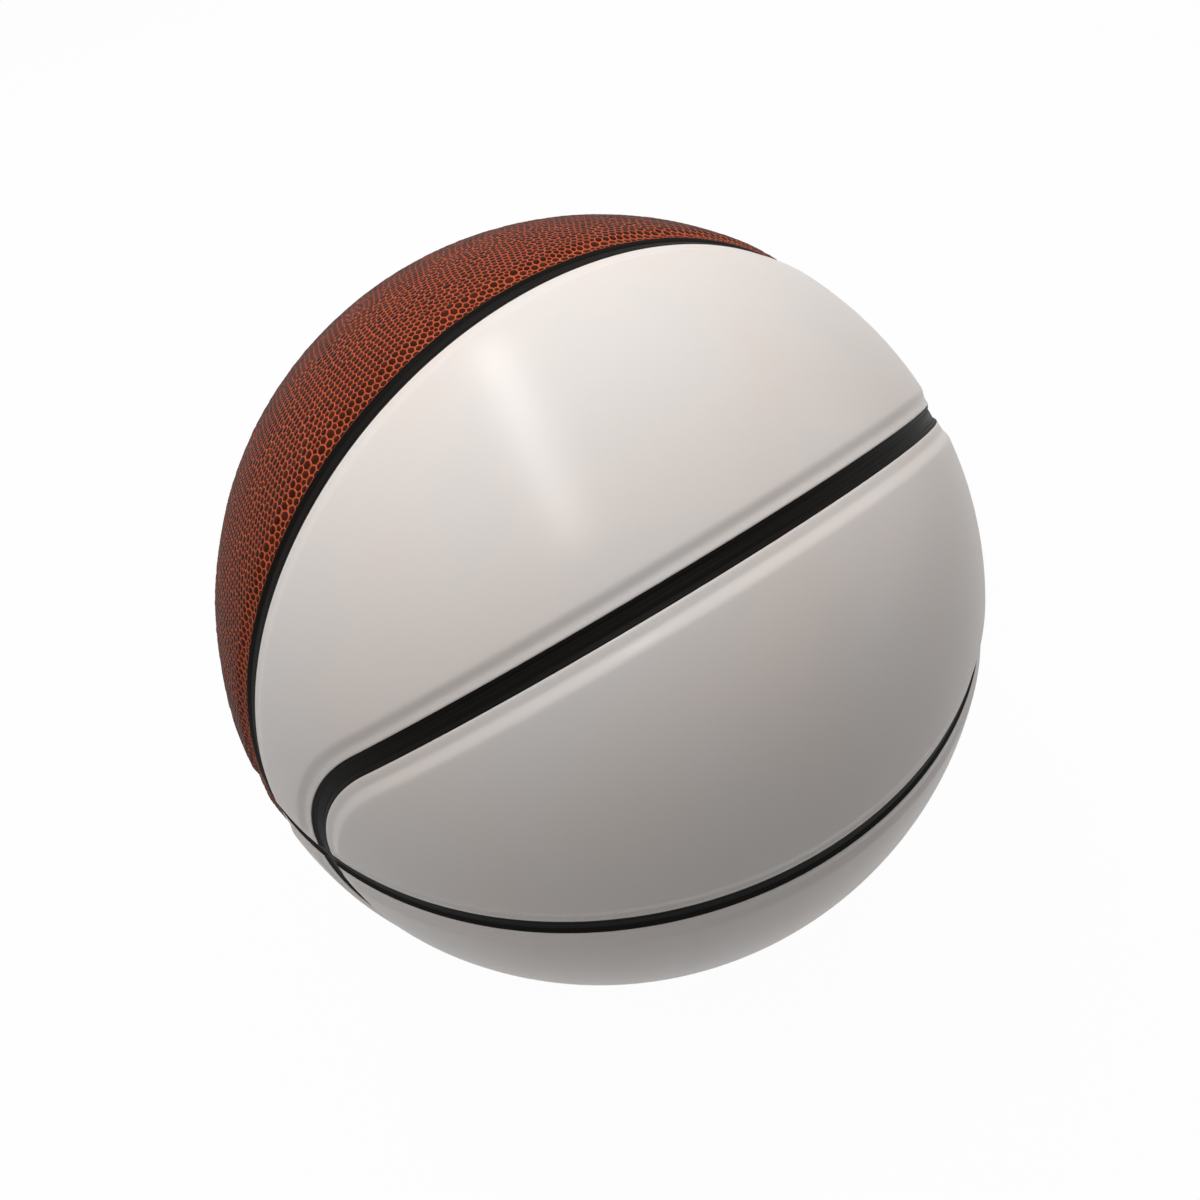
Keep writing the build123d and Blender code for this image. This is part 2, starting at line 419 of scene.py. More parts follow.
def smooth(piece, angle):
    """Smooth shading, except over edges sharper than an angle."""
    bpy.ops.object.select_all(action="DESELECT")
    bpy.context.view_layer.objects.active = piece
    piece.select_set(True)
    bpy.ops.object.shade_smooth_by_angle(angle=math.radians(angle))


def mirrored(piece, name, axis):
    """A copy of a piece, with a mesh of its own, mirrored across the ball."""
    copy = piece.copy()
    copy.data = piece.data.copy()
    copy.name = name
    copy.data.name = name
    copy.data.transform(Matrix.Scale(-1, 4, axis))
    copy.data.flip_normals()
    bpy.context.collection.objects.link(copy)
    return copy


def place(piece, node, material):
    """Puts a piece in the place of a solid of the ball, with its finish."""
    piece.data.materials.clear()
    piece.data.materials.append(material)
    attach(piece, BODY)
    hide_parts(node)


class Finish:
    """A material under way: its nodes are added one by one and end in the shader."""

    def __init__(self, name):
        self.material = bpy.data.materials.new(name)
        self.material.use_nodes = True
        self.nodes = self.material.node_tree.nodes
        self.shader = self.nodes["Principled BSDF"]

    def add(self, kind, inputs=(), **settings):
        """Adds a node. Inputs are numbers, colours or the outputs of other nodes, by name or place."""
        node = self.nodes.new(kind)
        for name, value in settings.items():
            setattr(node, name, value)
        for name, value in dict(inputs).items():
            self.set(node, name, value)
        return node

    def set(self, node, name, value):
        """Gives an input of a node a value, or links it."""
        if isinstance(value, bpy.types.NodeSocket):
            self.material.node_tree.links.new(value, node.inputs[name])
        else:
            node.inputs[name].default_value = value

    def shade(self, **inputs):
        """Sets inputs of the shader."""
        for name, value in inputs.items():
            self.set(self.shader, name.replace("_", " ").title().replace("Ior", "IOR"), value)

    def place(self):
        """Where a point is on the ball."""
        return self.add("ShaderNodeTexCoord").outputs["Object"]

    def noise(self, vector, scale, detail=2.0, roughness=0.5):
        """Soft noise, in patches of about 1 / scale metres."""
        inputs = {"Vector": vector, "Scale": scale, "Detail": detail, "Roughness": roughness}
        return self.add("ShaderNodeTexNoise", inputs).outputs["Fac"]

    def attribute(self, name):
        """A number that a piece keeps for each of its points."""
        return self.add("ShaderNodeAttribute", attribute_name=name).outputs["Fac"]

    def mix(self, share, first, second):
        """A blend of two colours."""
        node = self.add("ShaderNodeMix", {0: share, 6: first, 7: second}, data_type="RGBA")
        return node.outputs[2]

    def spread(self, value, low, high, start=0.0, end=1.0):
        """Spreads a value from one range over another."""
        inputs = {"Value": value, "From Min": start, "From Max": end, "To Min": low, "To Max": high}
        return self.add("ShaderNodeMapRange", inputs).outputs["Result"]

    def bump(self, height, strength, distance, normal=None):
        """Fine relief, too fine to model."""
        inputs = {"Height": height, "Strength": strength, "Distance": distance}
        if normal is not None:
            inputs["Normal"] = normal
        return self.add("ShaderNodeBump", inputs).outputs["Normal"]


def opaque(value):
    """A colour with full cover."""
    return (*value, 1.0)


def white_cover(colours):
    """Smooth cover under a satin coat: faint weave, warm and cool patches, fine creases in the lip."""
    finish = Finish("white_cover")
    spot = finish.place()
    patches = finish.spread(finish.noise(spot, 22, 3), 0, 1, 0.38, 0.62)
    tint = finish.mix(patches, opaque(colours.white), opaque(colours.white_cool))
    satin = finish.spread(finish.noise(spot, 120, 2), 0.235, 0.265, 0.3, 0.7)
    turn_inputs = {"Vector": spot, "Rotation": (0.6, 0.35, 0.8)}
    turned = finish.add("ShaderNodeMapping", turn_inputs).outputs["Vector"]
    weave_inputs = {"Vector": turned, "Scale": 290, "Distortion": 1.0, "Detail": 1.0}
    weave = finish.add("ShaderNodeTexWave", weave_inputs).outputs["Fac"]
    across = finish.add("ShaderNodeMapping", {"Vector": spot, "Scale": (120, 950, 120)}).outputs["Vector"]
    crease_inputs = {0: finish.noise(across, 1, 2), 1: finish.attribute("lip")}
    creases = finish.add("ShaderNodeMath", crease_inputs, operation="MULTIPLY").outputs[0]
    grain = finish.bump(weave, 0.03, 0.0001)
    grain = finish.bump(creases, 0.5, 0.0004, grain)
    finish.shade(base_color=tint, roughness=0.6, normal=grain, specular_ior_level=0.0)
    finish.shade(coat_weight=0.55, coat_roughness=satin, coat_normal=grain)
    return finish.material


def brown_cover(colours):
    """Pebbled cover: dark pebbles, rubbed unevenly, over bright lines."""
    finish = Finish("brown_cover")
    spot = finish.place()
    height = finish.attribute("pebble")
    tone = finish.attribute("tone")
    top = finish.mix(tone, opaque(colours.pebble_top), opaque(colours.pebble_worn))
    fleck = finish.noise(spot, 1600, 3, 0.6)
    smudge = finish.add("ShaderNodeMath", {0: fleck, 1: 0.5}, operation="SUBTRACT").outputs[0]
    edge_inputs = {0: smudge, 1: 0.35, 2: height}
    edge = finish.add("ShaderNodeMath", edge_inputs, operation="MULTIPLY_ADD").outputs[0]
    share = finish.spread(edge, 0, 1, 0.4, 0.76)
    tint = finish.mix(share, opaque(colours.valley), top)
    rough = finish.spread(share, 0.6, 0.42)
    grain = finish.bump(finish.noise(spot, 2600, 3), 0.25, 0.0001)
    finish.shade(base_color=tint, roughness=rough, normal=grain, specular_ior_level=0.04)
    return finish.material


def plain_rubber(name, tint, rough_low, rough_high, grain_scale, grain_strength):
    """Moulded rubber with a fine grain and a slightly patchy sheen."""
    finish = Finish(name)
    spot = finish.place()
    patches = finish.noise(spot, 160, 3)
    dusty = tuple(min(1.0, part * 1.8) for part in tint)
    shade = finish.mix(finish.spread(patches, 0, 1, 0.35, 0.75), opaque(tint), opaque(dusty))
    rough = finish.spread(patches, rough_low, rough_high, 0.3, 0.7)
    grain = finish.bump(finish.noise(spot, grain_scale, 3), grain_strength, 0.0001)
    finish.shade(base_color=shade, roughness=rough, normal=grain, specular_ior_level=0.15)
    return finish.material


def seam_rubber(colours):
    """Moulded rubber of the channels, nearly black, with faint streaks along the seam."""
    finish = Finish("seam_rubber")
    spot = finish.place()
    depth = finish.attribute("depth")
    long_way = finish.add("ShaderNodeMapping", {"Vector": spot, "Scale": (22, 22, 22)}).outputs["Vector"]
    short_way = finish.spread(depth, 0, 9)
    both_ways = {0: long_way, 1: short_way}
    moved = finish.add("ShaderNodeVectorMath", both_ways, operation="ADD").outputs["Vector"]
    streaks = finish.noise(moved, 1, 2)
    worn = tuple(4.0 * part for part in colours.rubber)
    shade = finish.mix(finish.spread(streaks, 0, 1, 0.45, 0.75), opaque(colours.rubber), opaque(worn))
    rough = finish.spread(streaks, 0.6, 0.42, 0.3, 0.7)
    grain = finish.bump(streaks, 0.35, 0.0003)
    grain = finish.bump(finish.noise(spot, 1800, 3), 0.25, 0.0001, grain)
    finish.shade(base_color=shade, roughness=rough, normal=grain, specular_ior_level=0.05)
    return finish.material


def wound_thread(colours):
    """Nylon thread wound round and round the ball in two crossing directions."""
    finish = Finish("nylon_thread")
    spot = finish.place()
    bands = []
    for turn in ((0.4, 0.2, 0.0), (0.9, -0.7, 0.5)):
        turned = finish.add("ShaderNodeMapping", {"Vector": spot, "Rotation": turn}).outputs["Vector"]
        inputs = {"Vector": turned, "Scale": 230, "Distortion": 2.0, "Detail": 2.0}
        bands.append(finish.add("ShaderNodeTexWave", inputs).outputs["Fac"])
    both = finish.add("ShaderNodeMath", {0: bands[0], 1: bands[1]}, operation="MAXIMUM").outputs[0]
    dark = tuple(part * 0.45 for part in colours.thread)
    shade = finish.mix(both, opaque(dark), opaque(colours.thread))
    finish.shade(base_color=shade, roughness=0.6, normal=finish.bump(both, 0.6, 0.0003))
    return finish.material


class BALL_OT_white_panels(bpy.types.Operator):
    """Make the four smooth panels of the white half"""

    bl_idname = "ball.white_panels"
    bl_label = "White panels"

    def execute(self, context):
        sizes = context.scene.ball_sizes
        seams = Seams(sizes)
        material = white_cover(context.scene.ball_colours)
        for kind in ("band", "side"):
            top = round_sheet(f"white_{kind}_cover_top", sizes.crown_radius, WHITE_CUTS)
            trim_sheet(top, kind, 1, 1, WHITE_EDGE_LINES, seams)
            backing = top.modifiers.new("backing", "SOLIDIFY")
            backing.thickness = sizes.panel_thickness
            backing.offset = -1
            bpy.ops.object.modifier_apply(modifier=backing.name)
            points = read_points(top.data)
            radius = np.linalg.norm(points, axis=1)
            outside = radius > sizes.crown_radius - sizes.panel_thickness / 2
            seat = np.full(len(points), sizes.crown_radius - sizes.panel_thickness)
            edge = edge_distance(points, kind, sizes, seams)
            pressed = panel_radius(edge, kind, sizes)
            store(top.data, "lip", 1 - smooth_step((edge - CREASE_START) / sizes.flange_width))
            write_points(top.data, points / radius[:, None] * np.where(outside, pressed, seat)[:, None])
            smooth(top, angle=50)
            bottom = mirrored(top, f"white_{kind}_cover_bottom", (0, 0, 1))
            place(top, f"white_{kind}_panel_top", material)
            place(bottom, f"white_{kind}_panel_bottom", material)
        return {"FINISHED"}


def settle(sheet):
    """Turns edges to join the nearest points, and eases each point to the middle of its neighbours."""
    bpy.ops.mesh.select_all(action="SELECT")
    bpy.ops.mesh.beautify_fill(angle_limit=math.pi)
    bpy.ops.object.mode_set(mode="OBJECT")
    points = read_points(sheet.data)
    ends = read_edges(sheet.data)
    one, two = ends.T
    total = np.zeros_like(points)
    np.add.at(total, one, points[two])
    np.add.at(total, two, points[one])
    count = np.bincount(ends.ravel(), minlength=len(points))
    middle = total / np.maximum(count, 1)[:, None]
    write_points(sheet.data, at_radius(points + middle, np.linalg.norm(points, axis=1)))
    bpy.ops.object.mode_set(mode="EDIT")


def pebble_rows(sheet, sz, grain, seed):
    """Turns a round sheet into cells in wandering, uneven rows, over one quarter of the ball."""
    waves = 10
    slow, fast = 9, 20
    full_turn = 6.28
    margin = 0.012
    rng = np.random.default_rng(seed)
    points = read_points(sheet.data)
    radius = np.linalg.norm(points, axis=1, keepdims=True)
    turn = np.array(Matrix.Rotation(rng.uniform(0, full_turn), 3, Vector(rng.normal(size=3))))
    unit = points / radius @ turn.T
    drift = np.zeros_like(unit)
    for _ in range(waves):
        direction = rng.normal(size=3)
        direction *= rng.uniform(slow, fast) / np.linalg.norm(direction)
        drift += np.sin(unit @ direction + rng.uniform(0, full_turn))[:, None] * rng.normal(size=3)
    drift *= grain.swirl / waves**0.5
    strays = rng.normal(scale=grain.jitter, size=unit.shape)
    write_points(sheet.data, at_radius(unit * radius + drift + strays, radius))
    bpy.ops.object.mode_set(mode="EDIT")
    bpy.ops.mesh.select_mode(type="FACE")
    select_faces(sheet, lambda middle: middle.x > margin or middle.z * sz < -margin)
    bpy.ops.mesh.delete(type="FACE")
    for _ in range(grain.settling):
        settle(sheet)
    bpy.ops.object.mode_set(mode="OBJECT")
    points_to_cells(sheet)


def points_to_cells(sheet):
    """Makes a cell round each point of a sheet."""
    tree = bpy.data.node_groups.new("pebble_cells", "GeometryNodeTree")
    tree.interface.new_socket("Sheet", in_out="INPUT", socket_type="NodeSocketGeometry")
    tree.interface.new_socket("Cells", in_out="OUTPUT", socket_type="NodeSocketGeometry")
    entry = tree.nodes.new("NodeGroupInput")
    cells = tree.nodes.new("GeometryNodeDualMesh")
    result = tree.nodes.new("NodeGroupOutput")
    tree.links.new(entry.outputs[0], cells.inputs[0])
    tree.links.new(cells.outputs[0], result.inputs[0])
    step = sheet.modifiers.new("cells", "NODES")
    step.node_group = tree
    bpy.ops.object.modifier_apply(modifier=step.name)
    bpy.data.node_groups.remove(tree)


def open_valve_hole(sheet, axis, radius):
    """Removes the cells round the valve."""
    bpy.ops.object.mode_set(mode="EDIT")
    mesh = bmesh.from_edit_mesh(sheet.data)
    for face in mesh.faces:
        near = min((v.co - axis * v.co.dot(axis)).length if v.co.dot(axis) > 0 else 1.0 for v in face.verts)
        face.select_set(near < radius)
    bmesh.update_edit_mesh(sheet.data)
    bpy.ops.mesh.delete(type="FACE")
    bpy.ops.object.mode_set(mode="OBJECT")


class Cells:
    """The cells of a sheet as arrays: corners, and for each corner of each cell the next one round it."""

    def __init__(self, mesh):
        self.corners = read_points(mesh)
        count = len(mesh.polygons)
        self.start = np.empty(count, int)
        self.total = np.empty(count, int)
        self.loops = np.empty(len(mesh.loops), int)
        mesh.polygons.foreach_get("loop_start", self.start)
        mesh.polygons.foreach_get("loop_total", self.total)
        mesh.loops.foreach_get("vertex_index", self.loops)
        self.cell = np.repeat(np.arange(count), self.total)
        self.following = np.arange(len(self.loops)) + 1
        self.following[self.start + self.total - 1] = self.start
        self.points = self.corners[self.loops]
        self.middle = np.add.reduceat(self.points, self.start) / self.total[:, None]
        self.out = self.points - self.middle[self.cell]
        self.reach = np.linalg.norm(self.out, axis=1)
        self.mean_reach = np.add.reduceat(self.reach, self.start) / self.total
        side = self.points[self.following] - self.points
        side_length = np.maximum(np.linalg.norm(side, axis=1), SHORTEST_SIDE)
        away = np.linalg.norm(np.cross(side, -self.out), axis=1) / side_length
        self.inner_reach = np.minimum.reduceat(away, self.start)

    def ring(self, share, rounding):
        """A ring of points inside each cell, rounder than the cell."""
        narrow, range_to_round, beyond = 0.5, 0.3, 1.12
        whole = np.clip((self.inner_reach / self.mean_reach - narrow) / range_to_round, 0, 1) * rounding
        whole = whole[self.cell]
        circle = np.minimum(self.mean_reach, beyond * self.inner_reach)[self.cell]
        reach = share * ((1 - whole) * self.reach + whole * circle)
        return self.middle[self.cell] + self.out / self.reach[:, None] * reach[:, None]

    def rim(self):
        """The sides of cells that no other cell shares, as pairs of corners."""
        pairs = np.stack([self.loops, self.loops[self.following]], axis=1)
        key = np.sort(pairs, axis=1)
        key = key[:, 0] * len(self.corners) + key[:, 1]
        _, number, count = np.unique(key, return_inverse=True, return_counts=True)
        return pairs[count[number] == 1]


def valve_rings(corners, ring, axis, sizes):
    """Corners of the cells at the valve, and rings of points from there in to its hole and down it."""
    marks = np.unique(ring)
    out = corners[marks] - np.outer(corners[marks] @ axis, axis)
    out /= np.linalg.norm(out, axis=1, keepdims=True)
    crown = sizes.crown_radius
    hole = sizes.valve_hole
    steps = [(hole + away, crown - depth) for away, depth in VALVE_STEPS]
    steps.append((hole, crown - sizes.panel_thickness))
    return marks, [out * width + axis * math.sqrt(radius**2 - width**2) for width, radius in steps]


def pebble_mesh(sheet, kind, sizes, grain, seams, seed, valve_axis):
    """Raises a pebble on every cell and closes the sheet behind them. The valve's edge is a smooth ring."""
    cells = Cells(sheet.data)
    rng = np.random.default_rng(seed)
    seat = sizes.crown_radius - sizes.panel_thickness
    sink = PEBBLE_SINK * grain.pebble_height

    def surface(points, lift):
        edge = edge_distance(points, kind, sizes, seams)
        return at_radius(points, panel_radius(edge, kind, sizes) - sink + lift)

    def ring_at(share, rounding, height):
        return surface(cells.ring(share, rounding), height * lift[cells.cell])

    edge = edge_distance(cells.middle, kind, sizes, seams)
    size = np.clip(cells.inner_reach / np.median(cells.inner_reach), *PEBBLE_SIZES)
    lift = grain.pebble_height * size * (EDGE_HEIGHT + EDGE_GAIN * smooth_step(edge / EDGE_GAIN_WIDTH))
    lift *= rng.uniform(*PEBBLE_HEIGHTS, len(lift))
    corner_count = len(cells.corners)
    loop_count = len(cells.loops)
    cell_count = len(cells.total)
    foot = corner_count
    top = foot + loop_count
    peak = top + loop_count
    back = peak + cell_count
    points = [
        surface(cells.corners, 0),
        ring_at(*PEBBLE_FOOT),
        ring_at(*PEBBLE_SHOULDER),
        surface(cells.middle, lift),
        at_radius(cells.corners, seat),
    ]
    rim = cells.rim()
    at_rim = np.zeros(corner_count, bool)
    at_rim[rim] = True
    # At the rim the valley and the pebbles' feet read higher, so the panel's edge beside the channel turns
    # darker: painted shade
    valley = np.where(at_rim, SHADED_RIM_VALLEY, VALLEY)
    slope = np.where(at_rim[cells.loops], SHADED_RIM_SLOPE, SLOPE)
    pebble = [valley, slope, np.ones(loop_count), np.ones(cell_count), valley]
    tone = rng.beta(*PEBBLE_TONES, cell_count)
    valley_tone = np.full(corner_count, VALLEY_TONE)
    tones = [valley_tone, tone[cells.cell], tone[cells.cell], tone, valley_tone]
    here = np.arange(loop_count)
    then = cells.following
    faces = np.stack([cells.loops, cells.loops[then], foot + then, foot + here], axis=1).tolist()
    faces += np.stack([foot + here, foot + then, top + then, top + here], axis=1).tolist()
    faces += np.stack([top + here, top + then, peak + cells.cell], axis=1).tolist()
    for start, total in zip(cells.start, cells.total):
        faces.append((back + cells.loops[start : start + total][::-1]).tolist())
    if valve_axis is None:
        at_valve = np.zeros(len(rim), bool)
    else:
        along_axis = cells.corners[rim] @ np.array(valve_axis)
        at_valve = along_axis.min(axis=1) > VALVE_RIM_SHARE * sizes.crown_radius
    walls = rim[~at_valve]
    faces += np.stack([walls[:, 1], walls[:, 0], back + walls[:, 0], back + walls[:, 1]], axis=1).tolist()
    if at_valve.any():
        ring = rim[at_valve]
        marks, rings = valve_rings(cells.corners, ring, np.array(valve_axis), sizes)
        rows = [marks]
        for number, ring_points in enumerate(rings):
            points.append(ring_points)
            pebble.append(np.full(len(marks), VALVE_HEIGHT))
            tones.append(np.full(len(marks), VALVE_TONE))
            rows.append(back + corner_count + number * len(marks) + np.arange(len(marks)))
        rows.append(back + marks)
        one, two = np.searchsorted(marks, ring).T
        for outer, inner in zip(rows, rows[1:]):
            faces += np.stack([outer[two], outer[one], inner[one], inner[two]], axis=1).tolist()
    mesh = bpy.data.meshes.new(sheet.name)
    mesh.from_pydata(np.concatenate(points).tolist(), [], faces)
    store(mesh, "pebble", np.concatenate(pebble))
    store(mesh, "tone", np.concatenate(tones))
    return mesh


class BALL_OT_brown_panels(bpy.types.Operator):
    """Make the four pebbled panels of the brown half, each pebble a small mound of its own"""

    bl_idname = "ball.brown_panels"
    bl_label = "Brown panels"

    def execute(self, context):
        sizes = context.scene.ball_sizes
        grain = context.scene.ball_grain
        seams = Seams(sizes)
        material = brown_cover(context.scene.ball_colours)
        seed = grain.seed
        valve_axis = Vector((-math.cos(sizes.valve_angle), 0, math.sin(sizes.valve_angle)))
        for kind in ("band", "side"):
            for level, sz in LEVELS.items():
                seed += 1
                sheet = round_sheet(f"brown_{kind}_cover_{level}", sizes.crown_radius, grain.rows)
                pebble_rows(sheet, sz, grain, seed)
                trim_sheet(sheet, kind, -1, sz, (), seams)
                rejoin_cells(sheet, -1, sz, seams)
                holed = kind == "side" and level == "top"
                if holed:
                    open_valve_hole(sheet, valve_axis, sizes.valve_ring)
                flat = sheet.data
                axis = valve_axis if holed else None
                sheet.data = pebble_mesh(sheet, kind, sizes, grain, seams, seed, axis)
                bpy.data.meshes.remove(flat)
                smooth(sheet, angle=60)
                place(sheet, f"brown_{kind}_panel_{level}", material)
        return {"FINISHED"}


def strip_section(name, start, sideways, sizes):
    """Cross-section of a seam strip as a face, square to the seam at its start."""
    half = sizes.channel_width / 2 - sizes.strip_clearance
    shares = (*np.arange(1, 0.44, -0.036), 0.35, 0.18)
    across = [-share * half for share in shares] + [0.0] + [share * half for share in reversed(shares)]
    inside = sizes.channel_width / 2 - np.abs(across)
    outline = list(zip(across, groove_radius(inside, sizes)))
    seat = sizes.crown_radius - sizes.panel_thickness
    outline += [(half * STRIP_FOOT_SHARE, seat), (-half * STRIP_FOOT_SHARE, seat)]
    bpy.ops.object.select_all(action="DESELECT")
    bpy.ops.mesh.primitive_circle_add(vertices=len(outline), fill_type="NGON")
    strip = bpy.context.object
    strip.name = name
    for vertex, (side, height) in zip(strip.data.vertices, outline):
        vertex.co = start * height + sideways * side
    bpy.ops.object.mode_set(mode="EDIT")
    bpy.ops.mesh.select_all(action="SELECT")
    return strip


def sweep(axis, turn, steps):
    """Spins the selected end of a strip round an axis through the ball's centre."""
    bpy.ops.mesh.spin(steps=steps, angle=-turn, center=(0, 0, 0), axis=axis)


def close_strip(strip, sizes, seams):
    """Leaves edit mode with faces outwards, then lets the grooves run into each other where seams cross."""
    bpy.ops.mesh.select_all(action="SELECT")
    bpy.ops.mesh.remove_doubles(threshold=SAME_POINT)
    bpy.ops.mesh.normals_make_consistent(inside=False)
    bpy.ops.object.mode_set(mode="OBJECT")
    points = read_points(strip.data)
    radius = np.linalg.norm(points, axis=1)
    seat = sizes.crown_radius - sizes.panel_thickness
    inside = (seams.half - np.abs(np.array(seams.distances(points)))).max(axis=0)
    store(strip.data, "depth", inside / seams.half)
    over_foot = radius > seat + STRIP_FOOT_HEIGHT
    grooved = np.where(over_foot, groove_radius(inside, sizes), radius)
    write_points(strip.data, points / radius[:, None] * grooved[:, None])
    smooth(strip, angle=40)


class BALL_OT_seam_strips(bpy.types.Operator):
    """Make the rubber strips in the channels between the panels"""

    bl_idname = "ball.seam_strips"
    bl_label = "Seam strips"

    def execute(self, context):
        sizes = context.scene.ball_sizes
        seams = Seams(sizes)
        material = seam_rubber(context.scene.ball_colours)
        self.meridian(sizes, seams, material)
        self.equator(sizes, seams, material)
        self.loops(sizes, seams, material)
        return {"FINISHED"}

    def meridian(self, sizes, seams, material):
        """The meridian strip, a whole ring swept in two halves and joined at the top."""
        across = Vector((1, 0, 0))
        ring = strip_section("meridian_rubber", Vector((0, 0, 1)), across, sizes)
        for _ in range(2):
            sweep(across, math.pi, HALF_RING_STEPS)
        bpy.ops.mesh.select_all(action="SELECT")
        bpy.ops.mesh.remove_doubles(threshold=SAME_POINT)
        select_faces(ring, lambda middle: abs(middle.y) < SAME_POINT and middle.z > 0)
        bpy.ops.mesh.delete(type="ONLY_FACE")
        close_strip(ring, sizes, seams)
        place(ring, "meridian_strip", material)

    def equator(self, sizes, seams, material):
        """The two halves of the equator strip, which end at the meridian strip."""
        short = math.asin((seams.half - STRIP_END_GAP) / (sizes.crown_radius - sizes.panel_thickness))
        start = Vector((math.sin(short), -math.cos(short), 0))
        white = strip_section("white_equator_rubber", start, Vector((0, 0, 1)), sizes)
        sweep((0, 0, 1), math.pi - 2 * short, HALF_RING_STEPS)
        close_strip(white, sizes, seams)
        brown = mirrored(white, "brown_equator_rubber", (1, 0, 0))
        place(white, "white_equator_strip", material)
        place(brown, "brown_equator_strip", material)

    def loops(self, sizes, seams, material):
        """The four halves of the loop strips, which end at the equator strip."""
        run_turn = 2 * seams.bend_start(1, 1, 1).angle(Vector((1, 0, 1)))
        bend_turn = math.asin(seams.bend_start(1, 1, 1).z / math.sin(seams.bend_angle))
        axes = {end: seams.bend_axis(1, end) for end in ENDS}
        start = Matrix.Rotation(bend_turn, 3, axes[-1]) @ seams.bend_start(1, 1, -1)
        sideways = (axes[-1] - start * start.dot(axes[-1])).normalized()
        strip = strip_section("white_loop_rubber_top", start, sideways, sizes)
        sweep(axes[-1], -bend_turn, BEND_STEPS)
        sweep(seams.run_normal(1, 1), -run_turn, RUN_STEPS)
        sweep(axes[1], -bend_turn, BEND_STEPS)
        bpy.ops.mesh.select_all(action="SELECT")
        cut((0, 0, seams.half - STRIP_END_GAP), (0, 0, 1), clear=True, fill=True)
        close_strip(strip, sizes, seams)
        quarters = {"white": strip, "brown": mirrored(strip, "brown_loop_rubber_top", (1, 0, 0))}
        for side, top in quarters.items():
            bottom = mirrored(top, f"{side}_loop_rubber_bottom", (0, 0, 1))
            place(top, f"{side}_loop_strip_top", material)
            place(bottom, f"{side}_loop_strip_bottom", material)


class BALL_OT_inner_layers(bpy.types.Operator):
    """Give the layers under the cover, the valve boot and the plug their finishes"""

    bl_idname = "ball.inner_layers"
    bl_label = "Inner layers and valve"

    def execute(self, context):
        colours = context.scene.ball_colours
        finishes = {
            "carcass": plain_rubber("carcass_rubber", tuple(colours.carcass), 0.55, 0.75, 900, 0.3),
            "thread_winding": wound_thread(colours),
            "bladder": plain_rubber("bladder_butyl", tuple(colours.bladder), 0.5, 0.65, 500, 0.2),
            "valve_boot": plain_rubber("valve_rubber", tuple(colours.valve), 0.38, 0.5, 2200, 0.15),
            "valve_plug": plain_rubber("plug_rubber", tuple(colours.plug), 0.45, 0.6, 2600, 0.2),
        }
        for node, material in finishes.items():
            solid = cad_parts[node]
            solid.data.materials.clear()
            solid.data.materials.append(material)
        return {"FINISHED"}


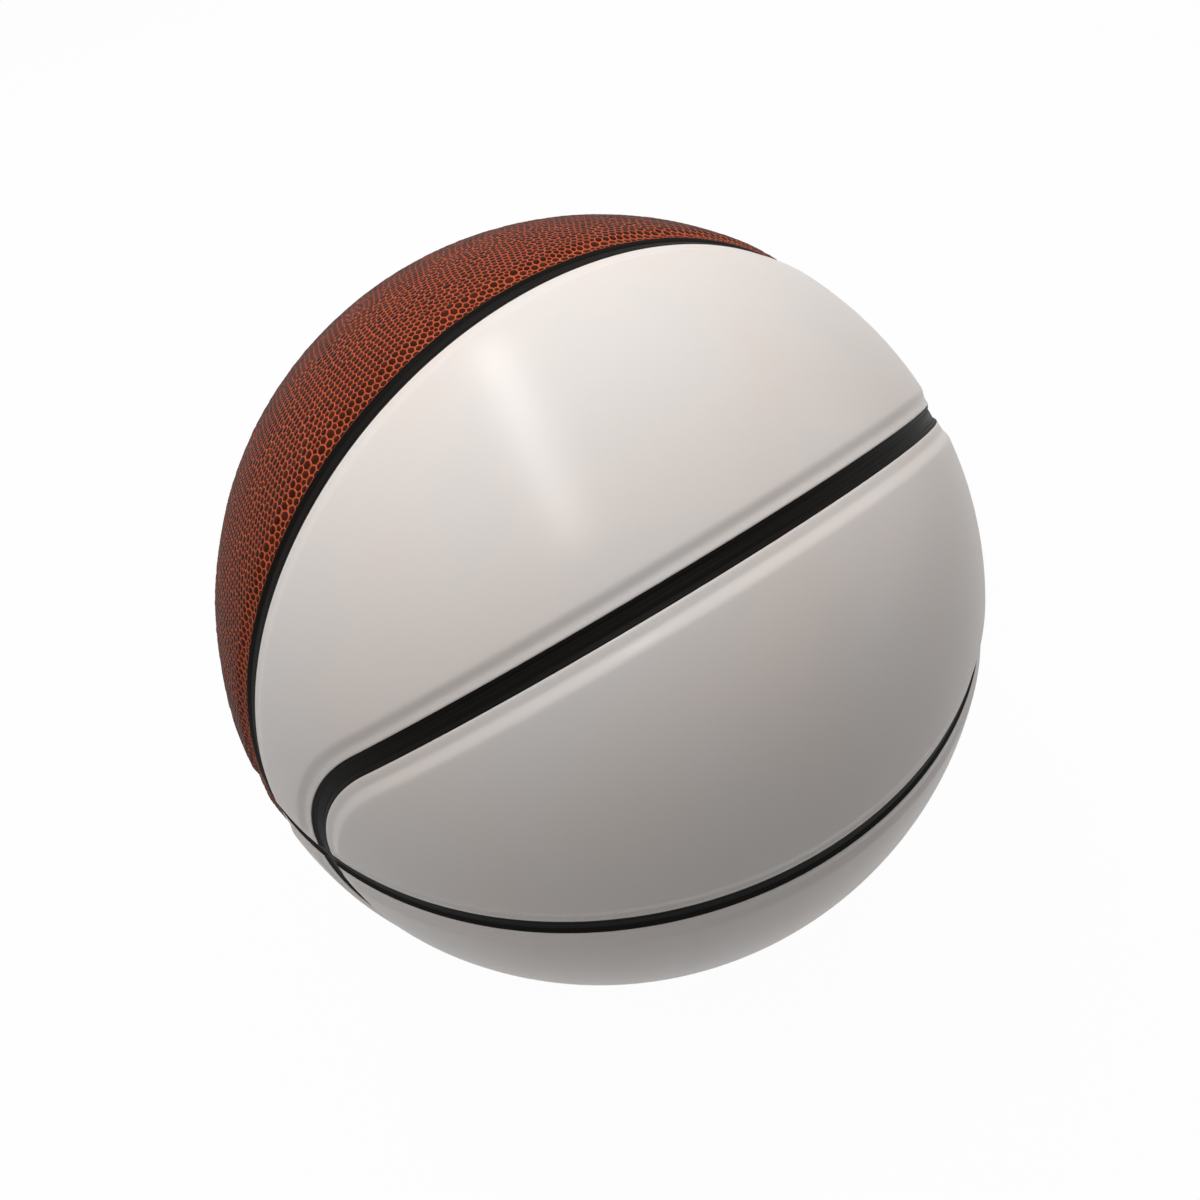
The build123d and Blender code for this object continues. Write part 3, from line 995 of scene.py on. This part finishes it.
class BALL_OT_stage(bpy.types.Operator):
    """Set the ball on a pale floor under soft lamps, with the camera"""

    bl_idname = "ball.stage"
    bl_label = "Stage"

    def execute(self, context):
        sizes = context.scene.ball_sizes
        self.floor(sizes)
        self.world(context)
        for name, settings in LAMPS.items():
            self.lamp(context, name, *settings)
        self.camera(context, sizes)
        context.scene.view_settings.view_transform = "Standard"
        return {"FINISHED"}

    def seen(self, tree):
        """1 for rays that show a background, straight, in gloss or glass, 0 for those that carry light."""
        path = tree.nodes.new("ShaderNodeLightPath")
        total = path.outputs["Is Camera Ray"]
        for kind in ("Is Glossy Ray", "Is Transmission Ray"):
            either = tree.nodes.new("ShaderNodeMath")
            either.operation = "MAXIMUM"
            tree.links.new(total, either.inputs[0])
            tree.links.new(path.outputs[kind], either.inputs[1])
            total = either.outputs[0]
        return total

    def floor(self, sizes):
        """A wide pale floor. It looks white and keeps the ball's shadow."""
        bpy.ops.object.select_all(action="DESELECT")
        bpy.ops.mesh.primitive_plane_add(size=8, location=(0, 0, -sizes.crown_radius))
        floor = bpy.context.object
        floor.name = "floor"
        material = bpy.data.materials.new("pale_floor")
        material.use_nodes = True
        tree = material.node_tree
        paint = tree.nodes["Principled BSDF"]
        paint.inputs["Base Color"].default_value = opaque((FLOOR_GREY,) * 3)
        paint.inputs["Roughness"].default_value = 0.9
        glow = tree.nodes.new("ShaderNodeEmission")
        glow.inputs["Strength"].default_value = 1.0
        share = tree.nodes.new("ShaderNodeMapRange")
        share.inputs["To Max"].default_value = FLOOR_WHITE_SHARE
        mix = tree.nodes.new("ShaderNodeMixShader")
        tree.links.new(self.seen(tree), share.inputs["Value"])
        tree.links.new(share.outputs["Result"], mix.inputs[0])
        tree.links.new(paint.outputs[0], mix.inputs[1])
        tree.links.new(glow.outputs[0], mix.inputs[2])
        tree.links.new(mix.outputs[0], tree.nodes["Material Output"].inputs["Surface"])
        floor.data.materials.append(material)

    def world(self, context):
        """Faint light from all round, which looks white straight and in gloss."""
        world = context.scene.world or bpy.data.worlds.new("studio")
        context.scene.world = world
        world.use_nodes = True
        tree = world.node_tree
        tree.nodes.clear()
        level = tree.nodes.new("ShaderNodeMapRange")
        level.inputs["To Min"].default_value = WORLD_LIGHT
        level.inputs["To Max"].default_value = 1.0
        back = tree.nodes.new("ShaderNodeBackground")
        back.inputs["Color"].default_value = (1, 1, 1, 1)
        out = tree.nodes.new("ShaderNodeOutputWorld")
        tree.links.new(self.seen(tree), level.inputs["Value"])
        tree.links.new(level.outputs["Result"], back.inputs["Strength"])
        tree.links.new(back.outputs[0], out.inputs["Surface"])

    def lamp(self, context, name, spot, along, long_side, short_side, power, in_gloss):
        """A soft lamp that faces the ball, with its long side in one direction."""
        light = bpy.data.lights.new(name, "AREA")
        light.shape = "RECTANGLE"
        light.size = long_side
        light.size_y = short_side
        light.energy = power
        lamp = bpy.data.objects.new(name, light)
        back = Vector(spot).normalized()
        side = (Vector(along) - back * back.dot(along)).normalized()
        turn = Matrix((side, back.cross(side), back)).transposed().to_4x4()
        lamp.matrix_world = Matrix.Translation(spot) @ turn
        lamp.visible_glossy = in_gloss
        context.collection.objects.link(lamp)

    def camera(self, context, sizes):
        """A camera close to the ball, above its front, rolled a little."""
        right = Vector(CAMERA_RIGHT).normalized()
        back = Vector(CAMERA_BACK).normalized()
        up = back.cross(right).normalized()
        data = bpy.data.cameras.new("camera")
        data.sensor_width = 36
        data.lens = CAMERA_LENS
        data.clip_start = 0.01
        camera = bpy.data.objects.new("camera", data)
        turn = Matrix((right, up, back)).transposed().to_4x4()
        camera.matrix_world = Matrix.Translation(back * CAMERA_DISTANCE * sizes.crown_radius) @ turn
        context.collection.objects.link(camera)
        context.scene.camera = camera


class BALL_PT_sidebar(bpy.types.Panel):
    """Sizes, colours and steps of the ball"""

    bl_idname = "BALL_PT_sidebar"
    bl_label = "Ball"
    bl_space_type = "VIEW_3D"
    bl_region_type = "UI"
    bl_category = "Ball"

    def draw(self, context):
        for group in GROUPS:
            settings = getattr(context.scene, group)
            box = self.layout.box()
            for name in settings.__annotations__:
                box.prop(settings, name)
        for step in STEPS:
            self.layout.operator(step.bl_idname)


STEPS = (
    BALL_OT_white_panels,
    BALL_OT_brown_panels,
    BALL_OT_seam_strips,
    BALL_OT_inner_layers,
    BALL_OT_stage,
)
GROUPS = {"ball_sizes": BallSizes, "ball_grain": BallGrain, "ball_colours": BallColours}
CLASSES = (*GROUPS.values(), *STEPS, BALL_PT_sidebar)


def register():
    for item in CLASSES:
        bpy.utils.register_class(item)
    for name, group in GROUPS.items():
        setattr(bpy.types.Scene, name, PointerProperty(type=group))


def unregister():
    for name in GROUPS:
        delattr(bpy.types.Scene, name)
    for item in reversed(CLASSES):
        bpy.utils.unregister_class(item)


def main():
    register()
    bpy.ops.ball.white_panels()
    bpy.ops.ball.brown_panels()
    bpy.ops.ball.seam_strips()
    bpy.ops.ball.inner_layers()
    bpy.ops.ball.stage()


if __name__ == "__main__":
    main()
